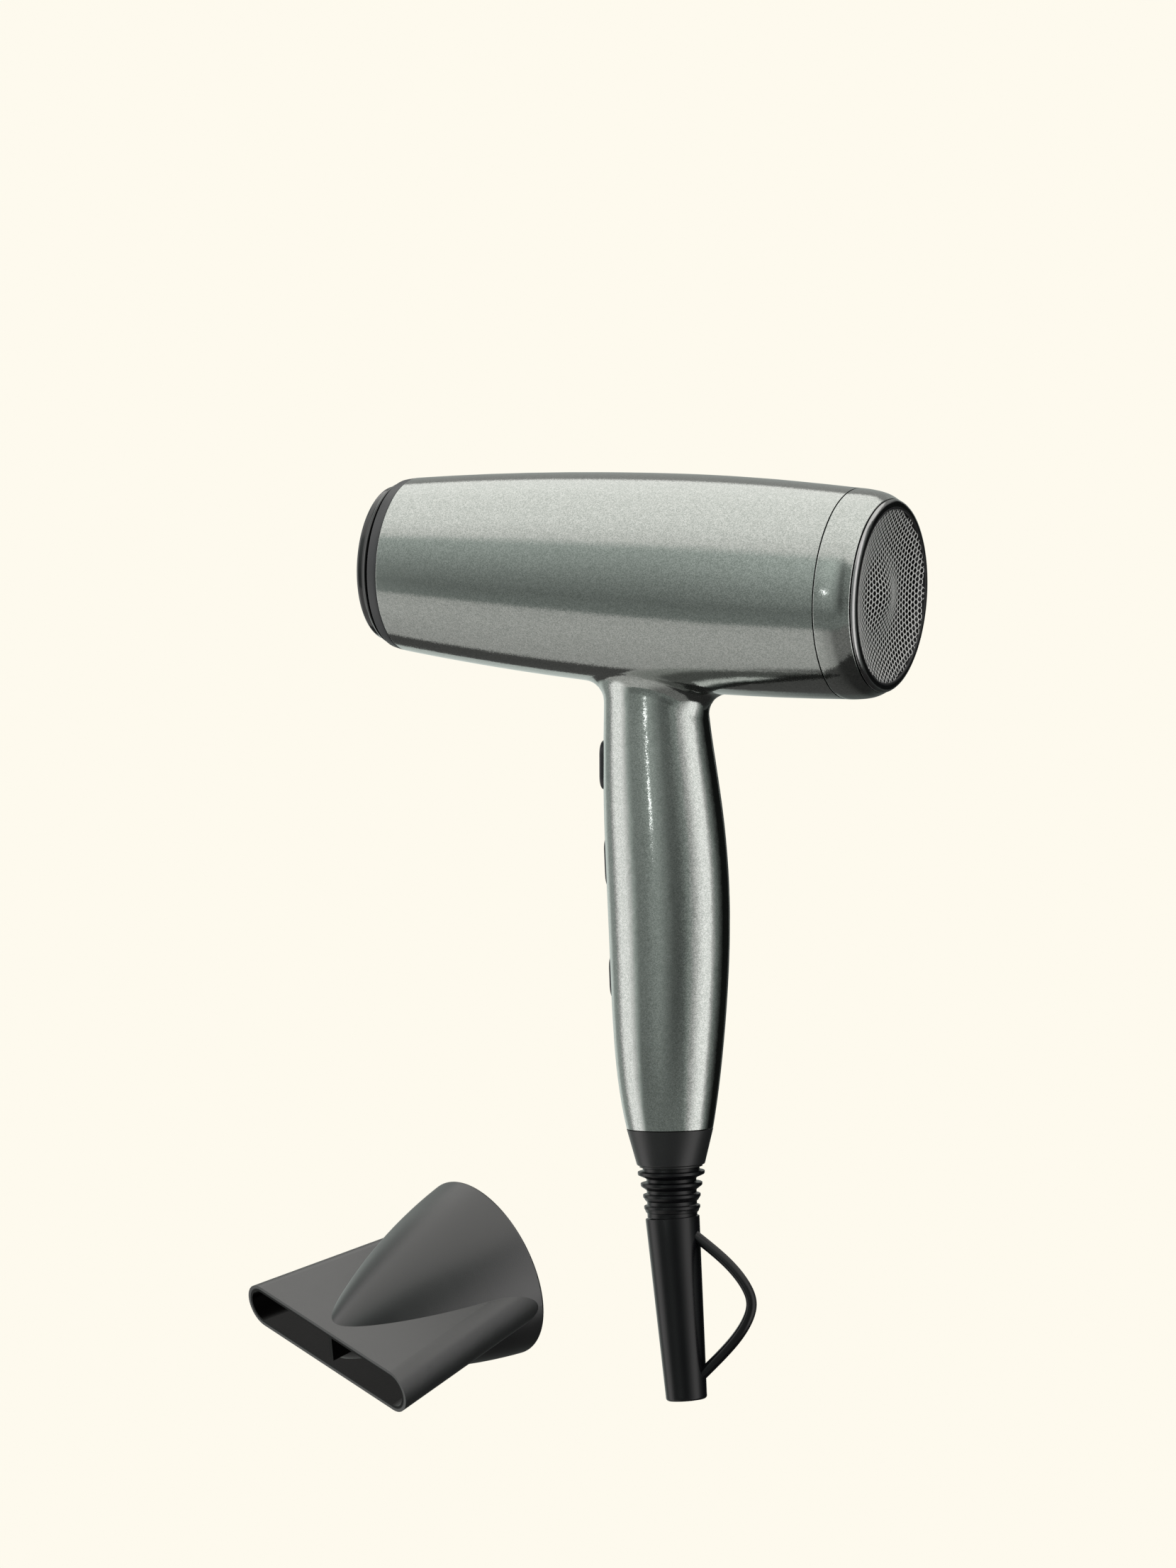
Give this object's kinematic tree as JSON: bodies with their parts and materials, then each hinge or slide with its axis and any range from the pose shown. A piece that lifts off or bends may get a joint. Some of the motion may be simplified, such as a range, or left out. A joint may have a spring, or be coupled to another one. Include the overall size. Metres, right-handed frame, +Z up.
{
  "type": "hair dryer",
  "caption": "Hand-held hair dryer: barrel with rear mesh intake, raked handle with push buttons, ribbed strain relief with hanging loop, and a loose flat nozzle.",
  "frame": {"origin": "middle of the hand grip", "axes": "+Z up, barrel along X with the outlet at -X and the intake at +X, symmetric about Y = 0 apart from the loose nozzle, which lies at -Y"},
  "size_m": [0.1851, 0.2008, 0.3119],
  "materials": {
    "paint": "metallic grey-green paint under a clear gloss coat",
    "charcoal": "fine satin texture",
    "gloss_black": "polished",
    "gunmetal": "polished dark metal",
    "steel_mesh": "bright expanded mesh",
    "black_trim": "satin",
    "button_black": "satin",
    "relief_black": "satin elastomer",
    "nozzle_charcoal": "fine matt grain",
    "mica": "mica sheet",
    "resistance_wire": "oxidised wire",
    "steel": "plain",
    "zinc_plate": "zinc plated",
    "duct_plastic": "glass-filled",
    "seal_rubber": "soft",
    "board_green": "lacquered laminate",
    "component": "moulded",
    "module_white": "potted",
    "ceramic_white": "ceramic",
    "copper": "enamelled windings",
    "wire_sleeve": "silicone insulation"
  },
  "bodies": {
    "dryer": {"board_parts": "component", "board_screws": "zinc_plate", "clamp_screws": "zinc_plate", "control_board": "board_green", "cord_clamp": "module_white", "duct_gasket": "seal_rubber", "end_cone": "black_trim", "fan_duct": "duct_plastic", "handle_front_panel": "paint", "heater_boards": "mica", "heater_tube": "mica", "heating_coils": "resistance_wire", "ion_emitter": "ceramic_white", "ion_generator": "module_white", "main_housing": "paint", "motor_bearings": "steel", "motor_can": "zinc_plate", "motor_stator": "copper", "outlet_band": "charcoal", "outlet_grille": "black_trim", "outlet_lip_ring": "gloss_black", "power_leads": "wire_sleeve", "push_switches": "component", "relief_ribs": "relief_black", "thermal_fuse": "zinc_plate", "thermostat": "steel"},
    "fan": {"fan_impeller": "duct_plastic", "rotor_magnet": "component", "motor_shaft": "steel"},
    "rear_cap": {"rear_cap": "paint", "bezel_ring": "gunmetal", "intake_grille": "steel_mesh", "grille_retainer": "black_trim", "filter_frame": "black_trim", "filter_mesh": "black_trim"},
    "power_button": {"power_button": "button_black"},
    "heat_button": {"heat_button": "button_black"},
    "speed_button": {"speed_button": "button_black"},
    "sleeve": {"relief_sleeve": "relief_black", "hanging_loop": "relief_black"},
    "nozzle": {"nozzle_shell": "nozzle_charcoal", "nozzle_clip_ring": "nozzle_charcoal", "nozzle_rib": "nozzle_charcoal"}
  },
  "joints": [
    {"name": "fan_spin", "type": "hinge", "parent": "dryer", "child": "fan", "pos_m": [0.034, 0, 0.112], "axis": [1, 0, 0], "continuous": true},
    {"name": "rear_cap_pull", "type": "slide", "parent": "dryer", "child": "rear_cap", "axis": [1, 0, 0], "range_m": [0, 0.03]},
    {"name": "power_button_press", "type": "slide", "parent": "dryer", "child": "power_button", "axis": [0.9969, 0, 0.0785], "range_m": [0, 0.0008], "stiffness_N_per_m": 900, "springref_m": -0.0008},
    {"name": "heat_button_press", "type": "slide", "parent": "dryer", "child": "heat_button", "axis": [0.9969, 0, 0.0785], "range_m": [0, 0.0008], "stiffness_N_per_m": 900, "springref_m": -0.0008},
    {"name": "speed_button_press", "type": "slide", "parent": "dryer", "child": "speed_button", "axis": [0.9969, 0, 0.0785], "range_m": [0, 0.0008], "stiffness_N_per_m": 900, "springref_m": -0.0008},
    {"name": "sleeve_flex", "type": "hinge", "parent": "dryer", "child": "sleeve", "pos_m": [0.00584, 0, -0.09333], "axis": [0, 1, 0], "range_deg": [-20, 20], "stiffness_Nm_per_rad": 0.4, "deforming": ["relief_ribs"]},
    {"name": "nozzle_lift", "type": "slide", "parent": "dryer", "child": "nozzle", "axis": [0, 0, 1], "range_m": [0, 0.12]}
  ]
}
